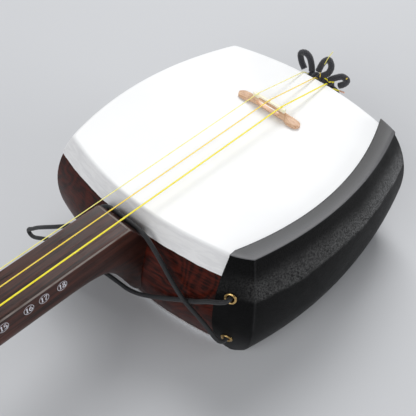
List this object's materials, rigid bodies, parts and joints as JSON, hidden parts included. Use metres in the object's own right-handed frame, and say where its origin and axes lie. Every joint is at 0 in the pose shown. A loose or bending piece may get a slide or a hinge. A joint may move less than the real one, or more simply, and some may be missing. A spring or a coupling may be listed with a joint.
{
  "type": "shamisen",
  "caption": "Thick-necked plucked lute with a skin-covered square wooden body, long fretless neck, friction pegs, movable bridge and a tied-on arm-rest cover.",
  "frame": {"origin": "centre of the body on the outer face of its back skin", "axes": "+X from the body to the head along the strings, +Y to the side with the arm-rest cover, +Z out of the front skin"},
  "size_m": [1.004, 0.2151, 0.1132],
  "materials": {
    "body_wood": "dark red-brown figured hardwood, polished",
    "front_skin": "taut white drum skin, satin",
    "back_skin": "taut off-white drum skin, satin",
    "cover_leather": "black pebbled leather cloth with a smooth edge",
    "eyelet_brass": "rolled antique brass",
    "elastic_cord": "black braided elastic",
    "neck_wood": "dark polished hardwood with reddish streaks",
    "sticker": "white ring and figures on black film",
    "bright_brass": "polished brass",
    "peg": "black ebony, polished",
    "string": "yellow dyed twisted string",
    "bridge_bamboo": "tan bamboo, satin",
    "bridge_top": "cream bone-like insert",
    "tail_cord": "dark grey braided cord"
  },
  "bodies": {
    "instrument": {"body_panel_neck": "body_wood", "body_panel_cover": "body_wood", "body_panel_tail": "body_wood", "body_panel_free": "body_wood", "front_skin": "front_skin", "back_skin": "back_skin", "arm_cover": "cover_leather", "cover_eyelet_neck_upper": "eyelet_brass", "cover_eyelet_neck_lower": "eyelet_brass", "cover_eyelet_tail_upper": "eyelet_brass", "cover_eyelet_tail_lower": "eyelet_brass", "cover_elastic_neck": "elastic_cord", "cover_elastic_tail": "elastic_cord", "neck_lower": "neck_wood", "neck_middle": "neck_wood", "neck_upper": "neck_wood", "head": "neck_wood", "position_sticker_4": "sticker", "position_sticker_6": "sticker", "position_sticker_9": "sticker", "position_sticker_10": "sticker", "position_sticker_15": "sticker", "position_sticker_16": "sticker", "position_sticker_17": "sticker", "position_sticker_18": "sticker", "nut": "bright_brass", "peg_bushing_1_cover_side": "bright_brass", "peg_bushing_1_free_side": "bright_brass", "string_1": "string", "peg_bushing_2_cover_side": "bright_brass", "peg_bushing_2_free_side": "bright_brass", "string_2": "string", "peg_bushing_3_cover_side": "bright_brass", "peg_bushing_3_free_side": "bright_brass", "string_3": "string", "tail_cord_sling": "tail_cord", "tail_cord_knot": "tail_cord", "tail_cord_bow_1": "tail_cord", "tail_cord_bow_2": "tail_cord", "tail_cord_bow_3": "tail_cord"},
    "sawari_screw": {"sawari_screw": "bright_brass"},
    "sawari_plate": {"sawari_plate": "bright_brass"},
    "bridge": {"bridge_base": "bridge_bamboo", "bridge_top": "bridge_top"},
    "peg_1": {"peg_1": "peg", "string_winding_1": "string"},
    "peg_2": {"peg_2": "peg", "string_winding_2": "string"},
    "peg_3": {"peg_3": "peg", "string_winding_3": "string"}
  },
  "joints": [
    {"name": "peg_1_turn", "type": "hinge", "parent": "instrument", "child": "peg_1", "pos_m": [0.757, 0, 0.0818], "axis": [0, 1, 0], "continuous": true},
    {"name": "peg_2_turn", "type": "hinge", "parent": "instrument", "child": "peg_2", "pos_m": [0.781, 0, 0.0786], "axis": [0, 1, 0], "continuous": true},
    {"name": "peg_3_turn", "type": "hinge", "parent": "instrument", "child": "peg_3", "pos_m": [0.804, 0, 0.0742], "axis": [0, 1, 0], "continuous": true},
    {"name": "sawari_screw_turn", "type": "hinge", "parent": "instrument", "child": "sawari_screw", "pos_m": [0.7255, 0.00925, 0.08], "axis": [0, 0, 1], "range_deg": [-720, 0]},
    {"name": "sawari_plate_lift", "type": "slide", "parent": "instrument", "child": "sawari_plate", "axis": [0, 0, 1], "range_m": [-0.001, 0]},
    {"name": "bridge_slide", "type": "slide", "parent": "instrument", "child": "bridge", "axis": [1, 0, 0], "range_m": [-0.005, 0.005], "deforming": ["string_1", "string_2", "string_3"]}
  ],
  "couplings": [
    {"joint": "sawari_screw_turn", "follows": "sawari_plate_lift", "rad_per_m": 12500}
  ]
}
